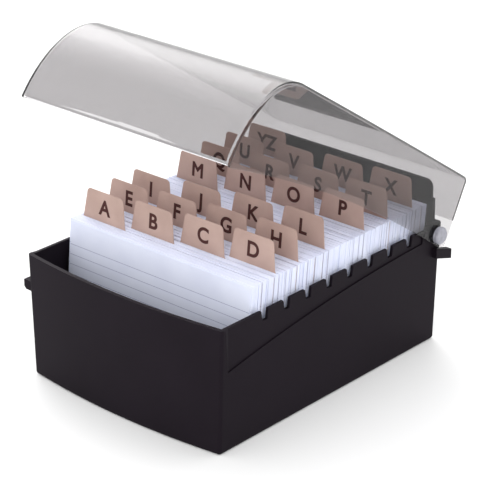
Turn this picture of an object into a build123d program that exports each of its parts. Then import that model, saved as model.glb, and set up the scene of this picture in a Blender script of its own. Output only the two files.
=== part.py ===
from build123d import *
import os
from math import atan, cos, degrees, radians, sin, sqrt, tan

# Index card drawer: a black moulded tray with ratchet notches in its side rims, a smoke
# cover hinged at the rear corners, packets of index cards between tabbed guides, and a
# follower plate that holds the stack upright.
# Millimetres. Origin at the middle of the tray's underside, +Z up, -Y towards the user.
# The model stands as in use: the cover open, on the stop lugs behind the tray.

os.makedirs("parts", exist_ok=True)

# ---- Cards and guides ----
CARD_WIDTH = 127.0
CARD_HEIGHT = 76.2
CARD_LEAN = 5.6                 # degrees, the stack leans back
CARD_LIFT = 0.2                 # stack above the tray's runners
CARD_SIDE_GAP = 0.45            # cards to the tray's inside, at the floor
STACK_FRONT = 19.4              # first card's foot behind the tray's front corners
SHEET_GAP = 0.1                 # guides to the cards on both sides
GUIDE_THICKNESS = 0.3
GUIDE_INSET = 0.3               # guides inside the cards' edges, each side
GUIDE_DROP = 0.7                # and their shoulders below the cards' tops
TAB_HEIGHT = 16.0
TAB_BASE_WIDTH = 30.0
TAB_TOP_WIDTH = 25.6
TAB_PITCH = 30.5
TAB_CORNER_RADIUS = 2.4
TAB_FLARE = 0.9                 # at the tab's foot, each side
TABS_PER_ROW = 4
FLUSH_DEPTH = 1.4               # cards that stand flush with each other
EDGE_SHIFT = 0.25               # how far such cards stand proud at the sides
TOP_SINK = 0.5                  # and how much lower their tops may be
SHIFT_TURN = 2.3                # radians per millimetre of depth, so that no two stand alike
SINK_TURN = 1.9

# Cards in front of the first guide, and behind each guide.
FRONT_CARDS = 31
GUIDES = ["a", "b", "c", "d", "e", "f", "g", "h", "i", "j", "k", "l", "m",
          "n", "o", "p", "q", "r", "s", "t", "u", "v", "w", "x", "yz"]
CARDS_BEHIND = [17, 18, 13, 21, 16, 17, 14, 17, 24, 25, 15, 86, 18,
                14, 12, 24, 23, 16, 10, 29, 24, 18, 11, 20, 17]

# ---- Tray ----
TRAY_DEPTH = 173.6              # front corners to rear face
TRAY_HEIGHT = 68.9
SIDE_DRAFT = 1.6                # degrees, the side walls lean outwards
FRONT_BOW = 5.0                 # how far the front wall bulges at its middle
WALL = 2.1
RIM_WALL = 2.4                  # side walls at the rim, before the recess
FLOOR = 2.2
RUNNER_HEIGHT = 3.6             # low ribs on the floor that carry the cards
RUNNER_WIDTH = 3.0
RUNNER_SPACING = 48.0
CORNER_RADIUS = 1.8
BASE_RADIUS = 1.8

# ---- Recess in the upper side walls, above a ledge ----
RECESS_DEPTH = 0.7
RECESS_FRONT_INSET = 2.5        # behind the front corners
RECESS_REAR_INSET = 16.0        # ahead of the rear face
RECESS_RAMP = 2.5               # length of the sloped front end
LEDGE_FRONT_DROP = 24.8         # ledge below the rim
LEDGE_MIDDLE_DROP = 11.8
LEDGE_REAR_DROP = 7.0

# ---- Ratchet notches in both side rims ----
NOTCH_COUNT = 9
NOTCH_PITCH = 16.45
FIRST_NOTCH = 29.2              # behind the front corners
NOTCH_DEPTH = 5.6
NOTCH_SLOPE_RUN = 1.2           # of the sloped front side
NOTCH_FLOOR_LENGTH = 3.45

# ---- Raised, stepped rear wall ----
BACK_RISE = 23.4                # above the rim
BACK_INSET = 6.7                # inside the rim's outer edge, each side
BACK_CORNER_RADIUS = 4.4
BACK_STEP_RISE = 13.4
BACK_STEP_INSET = 5.2
BACK_FOOT_INSET = 4.8

# ---- Hinge ----
HINGE_INSET = 5.0               # axis ahead of the rear face
HINGE_DROP = 4.5                # axis below the rim
HINGE_EAR_RISE = 2.4            # tray wall above the rim, at the hinge
HINGE_EAR_LENGTH = 12.5
HINGE_EAR_RADIUS = 1.8
HINGE_EAR_INSET = 0.55          # inside the tray's side and rear
PIN_RADIUS = 2.0
PIN_SEAT_GAP = 0.02             # radial, pin in the tray wall
PIN_RUNNING_GAP = 0.06          # radial, pin in the cover
PIN_AXIAL_GAP = 0.15            # pin head to the cover
PIN_HEAD_RADIUS = 4.8
PIN_HEAD_THICKNESS = 2.6
PIN_HEAD_CHAMFER = 0.6
PIN_TAIL_LENGTH = 0.6           # pin beyond the tray wall, inside
OPEN_ANGLE = 32.5               # the cover's swing, closed to open

# ---- Cover, as closed ----
COVER_WALL = 1.3
COVER_SIDE_GAP = 0.3            # to the tray's rim, each side
COVER_DRAFT = 2.7               # degrees, the cover narrows upwards
COVER_OVERHANG = 20.5           # beyond the tray's front corners
COVER_REAR_OVERHANG = 6.4       # beyond the tray's rear face
COVER_FRONT_RUN = 36.5          # of the curved front, along the tray
COVER_TOP_FALL = 2.6            # front of the flat top to its rear
COVER_REAR_RADIUS = 3.0
COVER_EDGE_RADIUS = 2.0
TAB_HEADROOM = 0.35             # tabs to the closed cover, at its rear end
SKIRT_FRONT_DROP = 18.6         # cover's lower edge below the rim
SKIRT_MIDDLE_DROP = 8.4
SKIRT_REAR_DROP = 10.9
SKIRT_FRONT_RADIUS = 2.5
SKIRT_REAR_RADIUS = 7.0
REAR_PANEL_RISE = 6.0           # lower edge of the rear panel above the rim

# ---- Lugs: one at the left front corner, a pair behind the rear corners ----
LUG_PROUD = 4.2                 # beyond the rim
LUG_INSET = 0.4                 # behind the front corners
LUG_LENGTH = 6.2
LUG_HEIGHT = 5.4
LUG_BEVEL = 1.4
LUG_GAP = 0.3                   # closed cover to the front lug
STOP_GAP = 0.3                  # open cover to the rear lugs
STOP_LENGTH = 7.4               # beyond the rear face
STOP_THICKNESS = 5.4
STOP_SLOPE = 17.0               # degrees
STOP_OVERLAP = 6.0              # along the side wall

# ---- Follower ----
FOLLOWER_THICKNESS = 1.6
FOLLOWER_GAP = 0.3              # to the last card, and in its notch
FOLLOWER_SIDE_GAP = 0.8         # to the tray's inside, each side
FOLLOWER_DROP = 4.7             # its top below the cards' tops
FOLLOWER_EAR_HEIGHT = 6.0
FOLLOWER_EAR_INSET = 1.85       # ear's end inside the rim's outer edge
GRIP_RADIUS = 14.0
FOLLOWER_RIB_WIDTH = 2.0
FOLLOWER_RIB_DEPTH = 1.6
FOLLOWER_RIB_SPACING = 70.0
FOLLOWER_RIB_HEIGHT = 50.0

# ---- Worked out from the above ----
MARGIN = 6.0                    # how far cutters reach past what they cut
FRONT_Y = -TRAY_DEPTH / 2
REAR_Y = TRAY_DEPTH / 2
INNER_FOOT_HALF = CARD_WIDTH / 2 + CARD_SIDE_GAP
BASE_HALF = INNER_FOOT_HALF + WALL
RIM_HALF = BASE_HALF + TRAY_HEIGHT * tan(radians(SIDE_DRAFT))
RECESS_HALF = RIM_HALF - RECESS_DEPTH
INNER_RIM_HALF = RIM_HALF - RIM_WALL
HINGE_Y = REAR_Y - HINGE_INSET
HINGE_Z = TRAY_HEIGHT - HINGE_DROP
STACK_FOOT = FLOOR + RUNNER_HEIGHT + CARD_LIFT
LEAN = radians(CARD_LEAN)
TAB_TOP = STACK_FOOT + (CARD_HEIGHT + TAB_HEIGHT) * cos(LEAN)


# ============================ COVER ============================
# Drawn closed, in the plane of its side, from the hinge axis: local x runs to the rear and
# local y up. The planes are swung to the open position.
SWING = radians(OPEN_ANGLE)
SIDE_PLANE = Plane(origin=(0, HINGE_Y, HINGE_Z), x_dir=(0, cos(SWING), -sin(SWING)),
                   z_dir=(1, 0, 0))
FACE_PLANE = Plane(origin=(0, HINGE_Y, HINGE_Z), x_dir=(1, 0, 0),
                   z_dir=(0, -cos(SWING), sin(SWING)))

COVER_FRONT = FRONT_Y - COVER_OVERHANG - HINGE_Y
COVER_REAR = REAR_Y + COVER_REAR_OVERHANG - HINGE_Y
COVER_TOP = TAB_TOP + TAB_HEADROOM + COVER_WALL - HINGE_Z
SKIRT_FRONT = HINGE_DROP - SKIRT_FRONT_DROP
SKIRT_REAR = HINGE_DROP - SKIRT_REAR_DROP
COVER_LOW = SKIRT_FRONT - MARGIN
REAR_PANEL_EDGE = HINGE_DROP + REAR_PANEL_RISE


def cover_half_width(height, inset=0.0):
    """Half the cover's width at a height above the hinge, closed."""
    return (RIM_HALF + COVER_SIDE_GAP + COVER_WALL - inset
            + (HINGE_DROP - height) * tan(radians(COVER_DRAFT)))


def cover_outline(inset):
    """Side view of the cover: curved front, a top that falls a little, upright rear."""
    front = COVER_FRONT + inset
    rear = COVER_REAR - inset
    curve_end = COVER_FRONT + COVER_FRONT_RUN
    run = COVER_FRONT_RUN - inset
    rise = COVER_TOP + COVER_TOP_FALL - inset - SKIRT_FRONT
    # The curve ends where it falls half as steeply as the top does on average.
    fall = COVER_TOP_FALL / (COVER_REAR - curve_end) / 2
    turn = degrees(atan(fall * run / rise))
    with BuildLine() as outline:
        curve = EllipticalCenterArc((curve_end, SKIRT_FRONT), run, rise,
                                    start_angle=90 - turn, arc_size=90 + turn)
        TangentArc(curve @ 0, (rear, COVER_TOP - inset), tangent=-(curve % 0))
        Polyline((rear, COVER_TOP - inset), (rear, COVER_LOW), (front, COVER_LOW),
                 (front, SKIRT_FRONT))
    return outline.edges()


def cover_section(inset):
    """Front view of the cover: a wedge that narrows upwards."""
    high = COVER_TOP + COVER_TOP_FALL + MARGIN
    low = COVER_LOW - MARGIN
    top_half = cover_half_width(high, inset)
    low_half = cover_half_width(low, inset)
    with BuildLine() as outline:
        Polyline((-low_half, low), (low_half, low), (top_half, high), (-top_half, high),
                 close=True)
    return outline.edges()


def upper_side_edges(part):
    """Edges between the sides and the front, top and rear."""
    sides = part.faces().sort_by(Axis.X)
    return [edge for face in (sides[0], sides[-1]) for edge in face.edges()
            if SIDE_PLANE.to_local_coords(edge.center()).Y > COVER_LOW + 1.0]


with BuildPart() as cover_space:
    with BuildSketch(SIDE_PLANE) as space_outline:
        make_face(cover_outline(COVER_WALL))
        corner = space_outline.vertices().sort_by_distance(
            (COVER_REAR - COVER_WALL, COVER_TOP - COVER_WALL))[0]
        fillet(corner, COVER_REAR_RADIUS - COVER_WALL)
    extrude(amount=CARD_WIDTH, both=True)
    with BuildSketch(FACE_PLANE):
        make_face(cover_section(COVER_WALL))
    extrude(amount=3 * TRAY_DEPTH, both=True, mode=Mode.INTERSECT)
    fillet(upper_side_edges(cover_space), COVER_EDGE_RADIUS - COVER_WALL)

with BuildPart() as cover:
    with BuildSketch(SIDE_PLANE) as cover_side:
        make_face(cover_outline(0.0))
        corner = cover_side.vertices().sort_by_distance((COVER_REAR, COVER_TOP))[0]
        fillet(corner, COVER_REAR_RADIUS)
    extrude(amount=CARD_WIDTH, both=True)
    with BuildSketch(FACE_PLANE):
        make_face(cover_section(0.0))
    extrude(amount=3 * TRAY_DEPTH, both=True, mode=Mode.INTERSECT)
    fillet(upper_side_edges(cover), COVER_EDGE_RADIUS)
    add(cover_space.part, mode=Mode.SUBTRACT)

    # Lower edge: an arched skirt with rounded corners.
    with BuildSketch(SIDE_PLANE) as skirt_outline:
        with BuildLine():
            skirt = ThreePointArc((COVER_FRONT, SKIRT_FRONT),
                                  ((COVER_FRONT + COVER_REAR) / 2 + MARGIN,
                                   HINGE_DROP - SKIRT_MIDDLE_DROP),
                                  (COVER_REAR, SKIRT_REAR))
            Polyline(skirt @ 1, (COVER_REAR, SKIRT_REAR + 2 * SKIRT_REAR_RADIUS),
                     (COVER_REAR + MARGIN, SKIRT_REAR + 2 * SKIRT_REAR_RADIUS),
                     (COVER_REAR + MARGIN, COVER_TOP + 2 * MARGIN),
                     (COVER_FRONT - MARGIN, COVER_TOP + 2 * MARGIN),
                     (COVER_FRONT - MARGIN, SKIRT_FRONT + 2 * SKIRT_FRONT_RADIUS),
                     (COVER_FRONT, SKIRT_FRONT + 2 * SKIRT_FRONT_RADIUS), skirt @ 0)
        make_face()
        corner = skirt_outline.vertices().sort_by_distance((COVER_REAR, SKIRT_REAR))[0]
        fillet(corner, SKIRT_REAR_RADIUS)
        corner = skirt_outline.vertices().sort_by_distance((COVER_FRONT, SKIRT_FRONT))[0]
        fillet(corner, SKIRT_FRONT_RADIUS)
    extrude(amount=CARD_WIDTH, both=True, mode=Mode.INTERSECT)

    # The rear panel ends above the hinge, between the two ears.
    with BuildSketch(FACE_PLANE):
        with BuildLine():
            Polyline((-cover_half_width(REAR_PANEL_EDGE, COVER_WALL), REAR_PANEL_EDGE),
                     (cover_half_width(REAR_PANEL_EDGE, COVER_WALL), REAR_PANEL_EDGE),
                     (cover_half_width(COVER_LOW, COVER_WALL), COVER_LOW),
                     (-cover_half_width(COVER_LOW, COVER_WALL), COVER_LOW), close=True)
        make_face()
    extrude(amount=-(COVER_REAR + MARGIN), mode=Mode.SUBTRACT)

    with BuildSketch(SIDE_PLANE):
        Circle(PIN_RADIUS + PIN_RUNNING_GAP)
    extrude(amount=CARD_WIDTH, both=True, mode=Mode.SUBTRACT)

cover.part.label = "cover"
export_step(cover.part, "parts/cover.step")


def skirt_height(y):
    """Height of the closed cover's lower edge over a place along the tray."""
    centre = skirt.arc_center
    return HINGE_Z + centre.Y + sqrt(skirt.radius ** 2 - (y - HINGE_Y - centre.X) ** 2)


# ============================ TRAY ============================
def bowed_outline(half_width, front, rear):
    """Plan of the tray: straight sides and rear, a bowed front."""
    with BuildLine() as outline:
        ThreePointArc((-half_width, front), (0, front - FRONT_BOW), (half_width, front))
        Polyline((half_width, front), (half_width, rear), (-half_width, rear),
                 (-half_width, front))
    return outline.edges()


with BuildPart() as tray_space:
    space_top = TRAY_HEIGHT + HINGE_EAR_RISE + MARGIN
    space_slope = (INNER_RIM_HALF - INNER_FOOT_HALF) / (TRAY_HEIGHT - FLOOR)
    space_top_half = INNER_RIM_HALF + space_slope * (space_top - TRAY_HEIGHT)
    with BuildSketch(Plane.XY.offset(FLOOR)):
        make_face(bowed_outline(INNER_FOOT_HALF, FRONT_Y + WALL, REAR_Y - WALL))
    with BuildSketch(Plane.XY.offset(space_top)):
        make_face(bowed_outline(space_top_half, FRONT_Y + WALL, REAR_Y - WALL))
    loft(ruled=True)

# The recess follows the draft of the side wall.
RECESS_PLANE = Plane(origin=(RECESS_HALF, 0, TRAY_HEIGHT), x_dir=(0, 1, 0),
                     z_dir=(cos(radians(SIDE_DRAFT)), 0, -sin(radians(SIDE_DRAFT))))
with BuildPart() as side_recess:
    recess_front = FRONT_Y + RECESS_FRONT_INSET
    recess_rear = REAR_Y - RECESS_REAR_INSET
    with BuildSketch(RECESS_PLANE):
        with BuildLine():
            ledge = ThreePointArc((recess_front, -LEDGE_FRONT_DROP), (0, -LEDGE_MIDDLE_DROP),
                                  (recess_rear, -LEDGE_REAR_DROP))
            Polyline(ledge @ 1, (recess_rear + RECESS_RAMP, MARGIN),
                     (recess_front, MARGIN), ledge @ 0)
        make_face()
    extrude(amount=MARGIN)
    # Its front end slopes out to the corner instead of stepping.
    with BuildSketch(Plane.XY.offset(TRAY_HEIGHT + 2 * MARGIN)):
        with BuildLine():
            Polyline((RECESS_HALF - MARGIN, recess_front - MARGIN),
                     (RECESS_HALF - MARGIN, recess_front + RECESS_RAMP),
                     (RECESS_HALF, recess_front + RECESS_RAMP),
                     (RIM_HALF, recess_front),
                     (RIM_HALF + 2 * MARGIN, recess_front - MARGIN), close=True)
        make_face()
    extrude(amount=-(TRAY_HEIGHT + 2 * MARGIN), mode=Mode.SUBTRACT)

with BuildPart() as tray:
    with BuildSketch(Plane.XY):
        make_face(bowed_outline(BASE_HALF, FRONT_Y, REAR_Y))
    with BuildSketch(Plane.XY.offset(TRAY_HEIGHT)):
        make_face(bowed_outline(RIM_HALF, FRONT_Y, REAR_Y))
    loft(ruled=True)
    fillet(tray.edges().group_by(Axis.Z)[1], CORNER_RADIUS)
    fillet(tray.edges().group_by(Axis.Z)[0], BASE_RADIUS)

    # Rear wall, raised between two steps.
    with BuildSketch(Plane.XZ.offset(-REAR_Y)) as back_outline:
        with BuildLine():
            Polyline((0, TRAY_HEIGHT - MARGIN),
                     (RIM_HALF - BACK_FOOT_INSET, TRAY_HEIGHT - MARGIN),
                     (RIM_HALF - BACK_STEP_INSET, TRAY_HEIGHT + BACK_STEP_RISE),
                     (RIM_HALF - BACK_INSET, TRAY_HEIGHT + BACK_STEP_RISE),
                     (RIM_HALF - BACK_INSET, TRAY_HEIGHT + BACK_RISE),
                     (0, TRAY_HEIGHT + BACK_RISE), close=True)
        make_face()
        mirror(about=Plane.YZ)
        fillet(back_outline.vertices().group_by(Axis.Y)[-1], BACK_CORNER_RADIUS)
    extrude(amount=WALL)

    # Hinge ears: the side walls rise a little at the rear corners.
    with BuildSketch(Plane.YZ) as ear_outline:
        with Locations((REAR_Y - HINGE_EAR_INSET, TRAY_HEIGHT - MARGIN)):
            Rectangle(HINGE_EAR_LENGTH, MARGIN + HINGE_EAR_RISE, align=(Align.MAX, Align.MIN))
        fillet(ear_outline.vertices().group_by(Axis.Y)[-1], HINGE_EAR_RADIUS)
    extrude(amount=RIM_HALF - HINGE_EAR_INSET, both=True)

    add(tray_space.part, mode=Mode.SUBTRACT)
    add(side_recess.part, mode=Mode.SUBTRACT)
    mirror(side_recess.part, about=Plane.YZ, mode=Mode.SUBTRACT)

    # Ratchet notches: a sloped front side and a rear side that leans with the stack.
    with BuildSketch(Plane.YZ):
        for index in range(NOTCH_COUNT):
            notch_y = FRONT_Y + FIRST_NOTCH + index * NOTCH_PITCH
            floor_end = notch_y + NOTCH_SLOPE_RUN + NOTCH_FLOOR_LENGTH
            with BuildLine():
                Polyline((notch_y, TRAY_HEIGHT + MARGIN), (notch_y, TRAY_HEIGHT),
                         (notch_y + NOTCH_SLOPE_RUN, TRAY_HEIGHT - NOTCH_DEPTH),
                         (floor_end, TRAY_HEIGHT - NOTCH_DEPTH),
                         (floor_end + (NOTCH_DEPTH + MARGIN) * tan(LEAN),
                          TRAY_HEIGHT + MARGIN), close=True)
            make_face()
    extrude(amount=RIM_HALF + MARGIN, both=True, mode=Mode.SUBTRACT)

    # Lug at the left front corner, which the closed cover rests on.
    lug_top = skirt_height(FRONT_Y + LUG_INSET) - LUG_GAP
    lug_reach = RIM_HALF + LUG_PROUD
    lug_root = INNER_RIM_HALF + WALL / 2
    with BuildSketch(Plane.XZ.offset(-(FRONT_Y + LUG_INSET + LUG_LENGTH))):
        with BuildLine():
            Polyline((-lug_root, lug_top - LUG_HEIGHT),
                     (-(lug_reach - LUG_BEVEL), lug_top - LUG_HEIGHT),
                     (-lug_reach, lug_top - LUG_HEIGHT + LUG_BEVEL),
                     (-lug_reach, lug_top), (-lug_root, lug_top), close=True)
        make_face()
    extrude(amount=LUG_LENGTH)

    # Rear lugs, which stop the open cover: their tops touch its rounded rear corners.
    slope = radians(STOP_SLOPE)
    ear_round = SIDE_PLANE.from_local_coords(
        (COVER_REAR - SKIRT_REAR_RADIUS, SKIRT_REAR + SKIRT_REAR_RADIUS, 0))
    touch_y = ear_round.Y - (SKIRT_REAR_RADIUS + STOP_GAP) * sin(slope)
    touch_z = ear_round.Z - (SKIRT_REAR_RADIUS + STOP_GAP) * cos(slope)
    stop_front = REAR_Y - STOP_OVERLAP
    stop_rear = REAR_Y + STOP_LENGTH
    stop_reach = cover_half_width(SKIRT_REAR) + PIN_AXIAL_GAP
    stop_drop = STOP_THICKNESS / cos(slope)
    with BuildSketch(Plane.YZ.offset(lug_root)):
        with BuildLine():
            Polyline((stop_front, touch_z - (stop_front - touch_y) * tan(slope)),
                     (stop_rear, touch_z - (stop_rear - touch_y) * tan(slope)),
                     (stop_rear, touch_z - (stop_rear - touch_y) * tan(slope) - stop_drop),
                     (stop_front, touch_z - (stop_front - touch_y) * tan(slope) - stop_drop),
                     close=True)
        make_face()
    stop = extrude(amount=stop_reach - lug_root)
    mirror(stop, about=Plane.YZ)

    # Runners on the floor.
    runner_length = TRAY_DEPTH - 2 * WALL - 2 * CORNER_RADIUS
    with BuildSketch(Plane.XY.offset(FLOOR)):
        with GridLocations(RUNNER_SPACING, 0, 3, 1):
            Rectangle(RUNNER_WIDTH, runner_length)
    extrude(amount=RUNNER_HEIGHT)

    # Hinge pin seats.
    with BuildSketch(Plane.YZ.offset(INNER_FOOT_HALF - MARGIN)):
        with Locations((HINGE_Y, HINGE_Z)):
            Circle(PIN_RADIUS + PIN_SEAT_GAP)
    seat = extrude(amount=3 * MARGIN, mode=Mode.SUBTRACT)
    mirror(seat, about=Plane.YZ, mode=Mode.SUBTRACT)

tray.part.label = "tray"
export_step(tray.part, "parts/tray.step")


# ============================ HINGE PINS ============================
def hinge_pin(side):
    """Pin with a round head, pushed in from outside; side is 1 on the right, -1 left."""
    head_x = cover_half_width(-PIN_HEAD_RADIUS) + PIN_AXIAL_GAP
    tail_x = INNER_RIM_HALF - PIN_TAIL_LENGTH
    with BuildPart() as pin:
        with BuildSketch(Plane.YZ.offset(side * tail_x)):
            with Locations((HINGE_Y, HINGE_Z)):
                Circle(PIN_RADIUS)
        extrude(amount=side * (head_x - tail_x))
        with BuildSketch(Plane.YZ.offset(side * head_x)):
            with Locations((HINGE_Y, HINGE_Z)):
                Circle(PIN_HEAD_RADIUS)
        extrude(amount=side * PIN_HEAD_THICKNESS)
        rim = pin.edges().sort_by(Axis.X)[-1 if side > 0 else 0]
        chamfer(rim, PIN_HEAD_CHAMFER)
    return pin


for side, name in ((1, "hinge_pin_right"), (-1, "hinge_pin_left")):
    pin = hinge_pin(side)
    pin.part.label = name
    export_step(pin.part, f"parts/{name}.step")


# ============================ STACK ============================
def sheet_plane(y):
    """Plane of a card whose foot stands at y: local x is +X, local y up the leaning card.

    It faces the user, so a sheet grows backwards by a negative extrusion."""
    return Plane(origin=(0, y, STACK_FOOT), x_dir=(1, 0, 0), z_dir=(0, -cos(LEAN), sin(LEAN)))


NOTCH_FLOOR_Z = TRAY_HEIGHT - NOTCH_DEPTH
LAST_NOTCH_END = (FRONT_Y + FIRST_NOTCH + (NOTCH_COUNT - 1) * NOTCH_PITCH
                  + NOTCH_SLOPE_RUN + NOTCH_FLOOR_LENGTH)
FOLLOWER_AT_NOTCH = LAST_NOTCH_END - FOLLOWER_GAP - FOLLOWER_THICKNESS / cos(LEAN)
FOLLOWER_Y = FOLLOWER_AT_NOTCH - (NOTCH_FLOOR_Z - STACK_FOOT) * tan(LEAN)

# Depths along Y of one guide with its gaps, and of one card.
GUIDE_DEPTH = (GUIDE_THICKNESS + 2 * SHEET_GAP) / cos(LEAN)
STACK_START = FRONT_Y + STACK_FRONT
STACK_DEPTH = FOLLOWER_Y - FOLLOWER_GAP - STACK_START - len(GUIDES) * GUIDE_DEPTH
CARD_DEPTH = STACK_DEPTH / (FRONT_CARDS + sum(CARDS_BEHIND))


def card_packet(start_y, cards):
    """A packet of cards as one solid, its edges stepped where cards don't stand flush."""
    depth = cards * CARD_DEPTH
    groups = max(1, round(depth / FLUSH_DEPTH))
    group_depth = depth / groups
    with BuildPart() as packet:
        for group in range(groups):
            y = start_y + group * group_depth
            shift = EDGE_SHIFT * sin(SHIFT_TURN * y)
            height = CARD_HEIGHT - TOP_SINK * (1 + cos(SINK_TURN * y)) / 2
            with BuildSketch(sheet_plane(y)):
                with Locations((shift, height / 2)):
                    Rectangle(CARD_WIDTH, height)
            extrude(amount=-group_depth * cos(LEAN))
    return packet


def guide_sheet(y, position):
    """A guide: a card with a tapered tab, in one of the positions of a row."""
    tab_x = (position - (TABS_PER_ROW - 1) / 2) * TAB_PITCH
    shoulder = CARD_HEIGHT - GUIDE_DROP
    with BuildPart() as guide:
        with BuildSketch(sheet_plane(y)) as outline:
            with Locations((0, shoulder / 2)):
                Rectangle(CARD_WIDTH - 2 * GUIDE_INSET, shoulder)
            with BuildLine():
                Polyline((tab_x - TAB_BASE_WIDTH / 2 - TAB_FLARE, shoulder),
                         (tab_x + TAB_BASE_WIDTH / 2 + TAB_FLARE, shoulder),
                         (tab_x + TAB_BASE_WIDTH / 2, shoulder + TAB_FLARE),
                         (tab_x + TAB_TOP_WIDTH / 2, CARD_HEIGHT + TAB_HEIGHT),
                         (tab_x - TAB_TOP_WIDTH / 2, CARD_HEIGHT + TAB_HEIGHT),
                         (tab_x - TAB_BASE_WIDTH / 2, shoulder + TAB_FLARE), close=True)
            make_face()
            fillet(outline.vertices().group_by(Axis.Y)[-1], TAB_CORNER_RADIUS)
        extrude(amount=-GUIDE_THICKNESS)
    return guide


packet = card_packet(STACK_START, FRONT_CARDS)
packet.part.label = "cards_front"
export_step(packet.part, "parts/cards_front.step")
sheet_y = STACK_START + FRONT_CARDS * CARD_DEPTH
for index, (letter, cards) in enumerate(zip(GUIDES, CARDS_BEHIND)):
    guide = guide_sheet(sheet_y + SHEET_GAP / cos(LEAN), index % TABS_PER_ROW)
    guide.part.label = f"guide_{letter}"
    export_step(guide.part, f"parts/guide_{letter}.step")
    sheet_y += GUIDE_DEPTH
    packet = card_packet(sheet_y, cards)
    packet.part.label = f"cards_{letter}"
    export_step(packet.part, f"parts/cards_{letter}.step")
    sheet_y += cards * CARD_DEPTH

# ============================ FOLLOWER ============================
with BuildPart() as follower:
    body_half = INNER_FOOT_HALF - FOLLOWER_SIDE_GAP
    ear_half = RIM_HALF - FOLLOWER_EAR_INSET
    ear_foot = (NOTCH_FLOOR_Z + FOLLOWER_GAP - STACK_FOOT) / cos(LEAN)
    follower_height = CARD_HEIGHT - FOLLOWER_DROP
    with BuildSketch(sheet_plane(FOLLOWER_Y)) as follower_outline:
        with Locations((0, follower_height / 2)):
            Rectangle(2 * body_half, follower_height)
        with Locations((0, ear_foot + FOLLOWER_EAR_HEIGHT / 2)):
            Rectangle(2 * ear_half, FOLLOWER_EAR_HEIGHT)
        with Locations((0, follower_height)):
            Circle(GRIP_RADIUS, mode=Mode.SUBTRACT)
    extrude(amount=-FOLLOWER_THICKNESS)
    with BuildSketch(sheet_plane(FOLLOWER_Y + FOLLOWER_THICKNESS / cos(LEAN))):
        with Locations((0, FOLLOWER_RIB_HEIGHT / 2)):
            with GridLocations(FOLLOWER_RIB_SPACING, 0, 2, 1):
                Rectangle(FOLLOWER_RIB_WIDTH, FOLLOWER_RIB_HEIGHT)
    extrude(amount=-FOLLOWER_RIB_DEPTH)
follower.part.label = "follower"
export_step(follower.part, "parts/follower.step")
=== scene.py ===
"""Index card drawer: materials, single cards, ruled lines, index letters, floor, light and camera."""
import random
from math import cos, radians, sin

import bmesh
import bpy
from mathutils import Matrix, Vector

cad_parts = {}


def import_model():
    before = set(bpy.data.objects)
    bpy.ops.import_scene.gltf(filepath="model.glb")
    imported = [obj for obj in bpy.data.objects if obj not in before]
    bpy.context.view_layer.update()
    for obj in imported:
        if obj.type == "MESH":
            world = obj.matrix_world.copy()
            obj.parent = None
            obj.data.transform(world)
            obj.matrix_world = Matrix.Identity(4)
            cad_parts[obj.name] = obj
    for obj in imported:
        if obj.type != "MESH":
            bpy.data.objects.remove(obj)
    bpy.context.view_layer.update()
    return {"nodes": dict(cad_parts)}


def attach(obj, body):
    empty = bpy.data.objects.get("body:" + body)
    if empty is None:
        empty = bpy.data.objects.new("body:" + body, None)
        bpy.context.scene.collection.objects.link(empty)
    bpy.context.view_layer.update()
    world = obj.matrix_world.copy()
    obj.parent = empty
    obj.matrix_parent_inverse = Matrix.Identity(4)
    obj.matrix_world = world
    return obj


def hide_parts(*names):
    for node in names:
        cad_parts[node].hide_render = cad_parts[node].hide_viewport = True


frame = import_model()
nodes = frame["nodes"]

# ---- Sizes, in metres ----
LEAN = radians(5.6)             # the stack leans back
CARD_WIDTH = 0.127
CARD_HEIGHT = 0.0762
CARD_THICKNESS = 0.000228       # pitch of the cards in a packet
SHEET_SHARE = 0.93              # of that pitch which is paper
GROUP_CARDS = (4, 12)           # cards that stand flush with each other
GROUP_SHIFT = 0.00028           # how far such a group stands proud at the sides
GROUP_SINK = (-0.0002, 0.0003)  # and how much lower its tops are
FIRST_SETBACK = 0.0009          # a group's first card stands back from its neighbours
CARD_SHIFT = 0.00008            # how far a single card stands proud of its group
CARD_SINK = 0.00015             # and how much lower its top may be
RULE_TOP = 0.0131               # header line below a card's top
RULE_PITCH = 0.0055
RULE_WIDTH = 0.00028
TAB_HEIGHT = 0.016
TAB_PITCH = 0.0305
TABS_PER_ROW = 4
LETTER_HEIGHT = 0.0082
CAPITAL_SHARE = 0.729           # height of the font's capitals, as a share of its size
LETTER_BOLD = 0.00035           # how far each stroke is thickened, each side
LETTER_FLAT = 0.06              # how much of that thickness stands off the board
LETTER_GAP = 0.00003            # print in front of the board
LETTERS = [chr(code) for code in range(ord("A"), ord("Y"))] + ["YZ"]

# ---- Colours, linear: the darkest and the lightest where a surface is cloudy ----
PLASTIC = ((0.0088, 0.0064, 0.0093), (0.0116, 0.0086, 0.0123))
PIN_HEAD = ((0.34, 0.34, 0.40), (0.50, 0.50, 0.56))
CARD = ((0.75, 0.785, 0.94), (0.81, 0.845, 0.99))
BOARD = ((0.440, 0.308, 0.264), (0.520, 0.372, 0.322))
PRINT = ((0.055, 0.018, 0.016), (0.085, 0.030, 0.026))
RULE_INK = (0.36, 0.38, 0.55)
COVER_SURFACE = (0.97, 0.97, 0.975)
COVER_DEPTH = (0.50, 0.48, 0.485)
COVER_SHADE = (0.86, 0.85, 0.86)
COVER_DENSITY = 640.0           # of its smoke colour, per metre

# ---- Light ----
WORLD_LIGHT = 1.05
WORLD_SEEN = 0.94               # by the camera, as bright as the floor's far end
FLOOR_COLOUR = (0.86, 0.86, 0.86)
FLOOR_GLOW = 0.04               # seen by the camera only, so that the lit floor is white
FLOOR_SIZE = 8.0

# ---- The photograph's view, from the corners, rims and notches of the tray ----
CAMERA_PLACE = Vector((0.6775, -0.7537, 0.5220))
CAMERA_TARGET = Vector((0, 0.0058, 0.06015))
CAMERA_LENS = 152.15            # millimetres, on a sensor 36 mm wide

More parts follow.
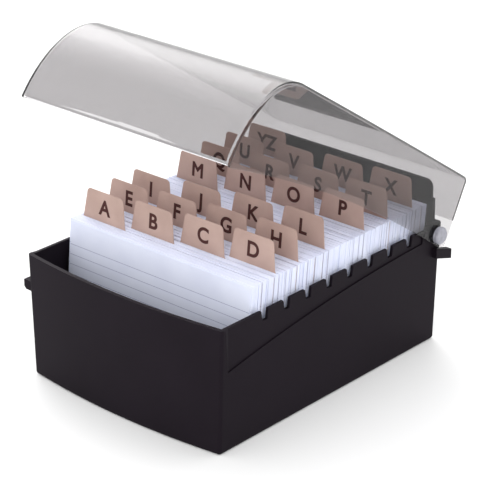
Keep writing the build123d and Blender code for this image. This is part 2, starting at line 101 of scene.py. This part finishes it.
# Directions of a leaning sheet: across, up the sheet, and back through the stack.
ACROSS = Vector((1, 0, 0))
UP_SHEET = Vector((0, sin(LEAN), cos(LEAN)))
BACK = Vector((0, cos(LEAN), -sin(LEAN)))


# ============================ MATERIALS ============================
def new_material(name):
    """A material with a Principled shader, and the pieces that its graph is made of."""
    material = bpy.data.materials.new(name)
    material.use_nodes = True
    tree = material.node_tree
    shader = next(n for n in tree.nodes if n.type == "BSDF_PRINCIPLED")
    return material, tree, shader


def node(tree, kind, **settings):
    """A new shader node with the given settings."""
    made = tree.nodes.new(kind)
    for key, value in settings.items():
        setattr(made, key, value)
    return made


def noise(tree, scale, detail=3.0, coordinates="Object"):
    """A noise texture in the object's own metres."""
    place = node(tree, "ShaderNodeTexCoord")
    texture = node(tree, "ShaderNodeTexNoise")
    texture.inputs["Scale"].default_value = scale
    texture.inputs["Detail"].default_value = detail
    tree.links.new(place.outputs[coordinates], texture.inputs["Vector"])
    return texture


def ramp(tree, source, low, high, low_at=0.3, high_at=0.7):
    """Maps a value between two colours."""
    made = node(tree, "ShaderNodeValToRGB")
    made.color_ramp.elements[0].position = low_at
    made.color_ramp.elements[0].color = (*low, 1)
    made.color_ramp.elements[1].position = high_at
    made.color_ramp.elements[1].color = (*high, 1)
    tree.links.new(source, made.inputs["Fac"])
    return made.outputs["Color"]


def span(tree, source, low, high):
    """Maps a value from 0..1 to low..high."""
    made = node(tree, "ShaderNodeMapRange")
    made.inputs["To Min"].default_value = low
    made.inputs["To Max"].default_value = high
    tree.links.new(source, made.inputs["Value"])
    return made.outputs["Result"]


def bump(tree, shader, source, distance, strength):
    """Raises a surface by a value, up to a distance in metres."""
    made = node(tree, "ShaderNodeBump")
    made.inputs["Distance"].default_value = distance
    made.inputs["Strength"].default_value = strength
    tree.links.new(source, made.inputs["Height"])
    tree.links.new(made.outputs["Normal"], shader.inputs["Normal"])


def black_plastic():
    """Satin black moulding with a fine spark-eroded grain."""
    material, tree, shader = new_material("black_plastic")
    cloud = noise(tree, 22.0)
    colour = ramp(tree, cloud.outputs["Fac"], *PLASTIC)
    tree.links.new(colour, shader.inputs["Base Color"])
    grain = noise(tree, 2600.0, detail=2.0)
    tree.links.new(span(tree, cloud.outputs["Fac"], 0.46, 0.58), shader.inputs["Roughness"])
    bump(tree, shader, grain.outputs["Fac"], 0.00004, 0.5)
    shader.inputs["Specular IOR Level"].default_value = 0.06
    shader.inputs["Specular Tint"].default_value = (1.0, 0.86, 1.0, 1)
    return material


def smoke_plastic():
    """Clear smoke-grey cover, coloured by the depth of material that is looked through.

    Its shadow is let through, so that the cards under it stay lit."""
    material, tree, shader = new_material("smoke_plastic")
    shader.inputs["Base Color"].default_value = (*COVER_SURFACE, 1)
    shader.inputs["Transmission Weight"].default_value = 1.0
    shader.inputs["IOR"].default_value = 1.49
    shader.inputs["Specular Tint"].default_value = (0.12, 0.12, 0.12, 1)
    haze = noise(tree, 14.0)
    tree.links.new(span(tree, haze.outputs["Fac"], 0.0, 0.03), shader.inputs["Roughness"])
    clear = node(tree, "ShaderNodeBsdfTransparent")
    clear.inputs["Color"].default_value = (*COVER_SHADE, 1)
    path = node(tree, "ShaderNodeLightPath")
    mix = node(tree, "ShaderNodeMixShader")
    output = next(n for n in tree.nodes if n.type == "OUTPUT_MATERIAL")
    tree.links.new(path.outputs["Is Shadow Ray"], mix.inputs["Fac"])
    tree.links.new(shader.outputs["BSDF"], mix.inputs[1])
    tree.links.new(clear.outputs["BSDF"], mix.inputs[2])
    tree.links.new(mix.outputs["Shader"], output.inputs["Surface"])
    smoke = node(tree, "ShaderNodeVolumeAbsorption")
    smoke.inputs["Color"].default_value = (*COVER_DEPTH, 1)
    smoke.inputs["Density"].default_value = COVER_DENSITY
    tree.links.new(smoke.outputs["Volume"], output.inputs["Volume"])
    return material


def clear_plastic():
    """Milky clear pin heads."""
    material, tree, shader = new_material("clear_plastic")
    cloud = noise(tree, 300.0)
    colour = ramp(tree, cloud.outputs["Fac"], *PIN_HEAD)
    tree.links.new(colour, shader.inputs["Base Color"])
    shader.inputs["Transmission Weight"].default_value = 0.35
    shader.inputs["IOR"].default_value = 1.49
    shader.inputs["Roughness"].default_value = 0.18
    return material


def paper(name, low, high, fibre=0.00003):
    """Uncoated paper or board, with a faint cloudiness and fibre."""
    material, tree, shader = new_material(name)
    cloud = noise(tree, 60.0, detail=5.0)
    colour = ramp(tree, cloud.outputs["Fac"], low, high)
    tree.links.new(colour, shader.inputs["Base Color"])
    fibres = noise(tree, 2200.0, detail=4.0)
    bump(tree, shader, fibres.outputs["Fac"], fibre, 0.4)
    tree.links.new(span(tree, fibres.outputs["Fac"], 0.75, 0.92), shader.inputs["Roughness"])
    shader.inputs["Specular IOR Level"].default_value = 0.25
    return material, tree, shader, colour


def ruled_paper():
    """Face of an index card: a header line and rules, from the card's own coordinates."""
    material, tree, shader, colour = paper("ruled_card", *CARD)
    card = node(tree, "ShaderNodeUVMap", uv_map="card")
    split = node(tree, "ShaderNodeSeparateXYZ")
    tree.links.new(card.outputs["UV"], split.inputs["Vector"])

    def calculate(operation, *values):
        made = node(tree, "ShaderNodeMath", operation=operation)
        for socket, value in zip(made.inputs, values):
            if isinstance(value, (int, float)):
                socket.default_value = value
            else:
                tree.links.new(value, socket)
        return made.outputs["Value"]

    # Card coordinates count the rules, from 0 at the header line downwards.
    down = split.outputs["Y"]
    below_header = calculate("GREATER_THAN", down, -0.5)
    nearest = calculate("ABSOLUTE", calculate("SUBTRACT", down, calculate("ROUND", down)))
    line = calculate("LESS_THAN", nearest, RULE_WIDTH / RULE_PITCH / 2)
    drawn = calculate("MULTIPLY", line, below_header)
    ink = node(tree, "ShaderNodeMix", data_type="RGBA")
    tree.links.new(drawn, ink.inputs["Factor"])
    tree.links.new(colour, ink.inputs["A"])
    ink.inputs["B"].default_value = (*RULE_INK, 1)
    tree.links.new(ink.outputs["Result"], shader.inputs["Base Color"])
    return material


tray_plastic = black_plastic()
cover_plastic = smoke_plastic()
pin_plastic = clear_plastic()
board = paper("guide_board", *BOARD)[0]
card_edge = paper("card_edge", *CARD)[0]
card_face = ruled_paper()
print_ink = paper("index_print", *PRINT, fibre=0.00001)[0]


def finish_node(name, material):
    """Gives a CAD node its material."""
    for slot in nodes[name].material_slots:
        slot.material = material


for name in ("tray", "follower"):
    finish_node(name, tray_plastic)
for name in ("hinge_pin_left", "hinge_pin_right"):
    finish_node(name, pin_plastic)
finish_node("cover", cover_plastic)
for name in nodes:
    if name.startswith("guide_"):
        finish_node(name, board)


# ============================ CARDS ============================
def packet_span(name):
    """A packet's front and rear face, as distances back through the stack, and its foot's height."""
    points = [v.co for v in nodes[name].data.vertices]
    through = [p.dot(BACK) for p in points]
    front = min(through)
    foot = min(p.dot(UP_SHEET) for p in points if p.dot(BACK) < front + CARD_THICKNESS)
    return front, max(through), (front * BACK + foot * UP_SHEET).z


def card_corners(through, foot_z, shift, width, height):
    """Corners of a card face: lower left, lower right, upper right, upper left."""
    foot = (foot_z + through * sin(LEAN)) / cos(LEAN)
    start = through * BACK + foot * UP_SHEET + shift * ACROSS
    return [start - width / 2 * ACROSS, start + width / 2 * ACROSS,
            start + width / 2 * ACROSS + height * UP_SHEET,
            start - width / 2 * ACROSS + height * UP_SHEET]


def add_card(mesh, layer, through, foot_z, shift, width, height):
    """One card as a thin box, ruled on both faces."""
    thickness = CARD_THICKNESS * SHEET_SHARE
    near = [mesh.verts.new(p) for p in card_corners(through, foot_z, shift, width, height)]
    far = [mesh.verts.new(p)
           for p in card_corners(through + thickness, foot_z, shift, width, height)]
    front = mesh.faces.new(near)
    back = mesh.faces.new(far[::-1])
    for face, top in ((front, near[2:]), (back, far[2:])):
        face.material_index = 1
        for loop in face.loops:
            below = 0.0 if loop.vert in top else height
            loop[layer].uv = (0.0, (below - RULE_TOP) / RULE_PITCH)
    for i in range(4):
        j = (i + 1) % 4
        mesh.faces.new((near[j], near[i], far[i], far[j]))


def packet(name, chance):
    """A packet as single cards: small groups that don't stand quite flush with each other."""
    front, rear, foot_z = packet_span(name)
    count = max(1, round((rear - front) / CARD_THICKNESS))
    pitch = (rear - front) / count
    mesh = bmesh.new()
    layer = mesh.loops.layers.uv.new("card")
    group_left = 0
    for index in range(count):
        if group_left == 0:
            group_left = chance.randint(*GROUP_CARDS)
            shift = chance.uniform(-GROUP_SHIFT, GROUP_SHIFT)
            sink = chance.uniform(*GROUP_SINK)
            setback = FIRST_SETBACK
        group_left -= 1
        add_card(mesh, layer, front + index * pitch, foot_z,
                 shift + chance.uniform(-CARD_SHIFT, CARD_SHIFT),
                 CARD_WIDTH - 2 * setback,
                 CARD_HEIGHT - sink - setback - chance.uniform(0.0, CARD_SINK))
        setback = 0.0
    data = bpy.data.meshes.new(f"single_{name}")
    mesh.to_mesh(data)
    mesh.free()
    made = bpy.data.objects.new(f"single_{name}", data)
    bpy.context.scene.collection.objects.link(made)
    data.materials.append(card_edge)
    data.materials.append(card_face)
    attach(made, "tray")
    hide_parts(name)


chance = random.Random(26)
for name in sorted(nodes):
    if name.startswith("cards_"):
        packet(name, chance)


# ============================ INDEX LETTERS ============================
def tab_centre(name, position):
    """Middle of a guide's tab, on its front face."""
    points = [v.co for v in nodes[name].data.vertices]
    front = min(p.dot(BACK) for p in points)
    top = max(p.dot(UP_SHEET) for p in points)
    x = (position - (TABS_PER_ROW - 1) / 2) * TAB_PITCH
    return front * BACK + (top - TAB_HEIGHT / 2) * UP_SHEET + x * ACROSS


def letter(text, guide, position):
    """Printed letters in the middle of a guide's tab."""
    curve = bpy.data.curves.new(f"letter_{text}", "FONT")
    curve.body = text
    curve.align_x = "CENTER"
    curve.size = LETTER_HEIGHT / CAPITAL_SHARE
    curve.bevel_depth = LETTER_BOLD
    curve.bevel_resolution = 1
    curve.resolution_u = 6
    made = bpy.data.objects.new(f"letter_{text}", curve)
    bpy.context.scene.collection.objects.link(made)
    foot = tab_centre(guide, position) - LETTER_HEIGHT / 2 * UP_SHEET - LETTER_GAP * BACK
    made.matrix_world = (
        (*ACROSS, 0), (*UP_SHEET, 0), (*(-LETTER_FLAT * BACK), 0), (*foot, 1))
    made.data.materials.append(print_ink)
    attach(made, "tray")


for index, text in enumerate(LETTERS):
    letter(text, f"guide_{text.lower()}", index % TABS_PER_ROW)


# ============================ FLOOR, LIGHT, CAMERA ============================
def floor():
    """Pale floor that reads as white where nothing shades it."""
    bpy.ops.mesh.primitive_plane_add(size=FLOOR_SIZE)
    made = bpy.context.object
    made.name = "floor"
    material, tree, shader = new_material("pale_floor")
    shader.inputs["Base Color"].default_value = (*FLOOR_COLOUR, 1)
    shader.inputs["Roughness"].default_value = 0.9
    shader.inputs["Specular IOR Level"].default_value = 0.0
    path = node(tree, "ShaderNodeLightPath")
    glow = node(tree, "ShaderNodeMath", operation="MULTIPLY")
    glow.inputs[1].default_value = FLOOR_GLOW
    seen = node(tree, "ShaderNodeMath", operation="MAXIMUM")
    tree.links.new(path.outputs["Is Camera Ray"], seen.inputs[0])
    tree.links.new(path.outputs["Is Transmission Ray"], seen.inputs[1])
    tree.links.new(seen.outputs["Value"], glow.inputs[0])
    shader.inputs["Emission Color"].default_value = (1, 1, 1, 1)
    tree.links.new(glow.outputs["Value"], shader.inputs["Emission Strength"])
    made.data.materials.append(material)


def lamp(name, place, aim, size, watts, spread=180.0):
    """A rectangular soft lamp; spread is its cone in degrees."""
    light = bpy.data.lights.new(name, "AREA")
    light.shape = "RECTANGLE"
    light.size, light.size_y = size
    light.energy = watts
    light.spread = radians(spread)
    made = bpy.data.objects.new(name, light)
    made.location = place
    made.rotation_euler = (Vector(aim) - Vector(place)).to_track_quat("-Z", "Y").to_euler()
    bpy.context.scene.collection.objects.link(made)


def world():
    """White surroundings."""
    made = bpy.data.worlds.new("studio")
    made.use_nodes = True
    background = made.node_tree.nodes["Background"]
    background.inputs["Color"].default_value = (1, 1, 1, 1)
    path = node(made.node_tree, "ShaderNodeLightPath")
    strength = span(made.node_tree, path.outputs["Is Camera Ray"], WORLD_LIGHT, WORLD_SEEN)
    made.node_tree.links.new(strength, background.inputs["Strength"])
    bpy.context.scene.world = made


def camera():
    """The photograph's view."""
    view = bpy.data.cameras.new("photo_view")
    view.sensor_width = 36.0
    view.lens = CAMERA_LENS
    made = bpy.data.objects.new("photo_view", view)
    made.location = CAMERA_PLACE
    made.rotation_euler = (CAMERA_TARGET - CAMERA_PLACE).to_track_quat("-Z", "Y").to_euler()
    bpy.context.scene.collection.objects.link(made)
    bpy.context.scene.camera = made


floor()
world()
lamp("overhead", (0, 0.15, 1.4), (0, 0, 0), (1.6, 1.6), watts=5.0)
lamp("behind_left", (-1.36, 0.76, 1.26), (0, 0, 0.1), (2.4, 2.4), watts=9.5, spread=64.0)
lamp("front_right", (0.7, -1.6, 1.1), (0, 0, 0.05), (1.6, 1.6), watts=9.0)
camera()
bpy.context.scene.view_settings.view_transform = "Standard"
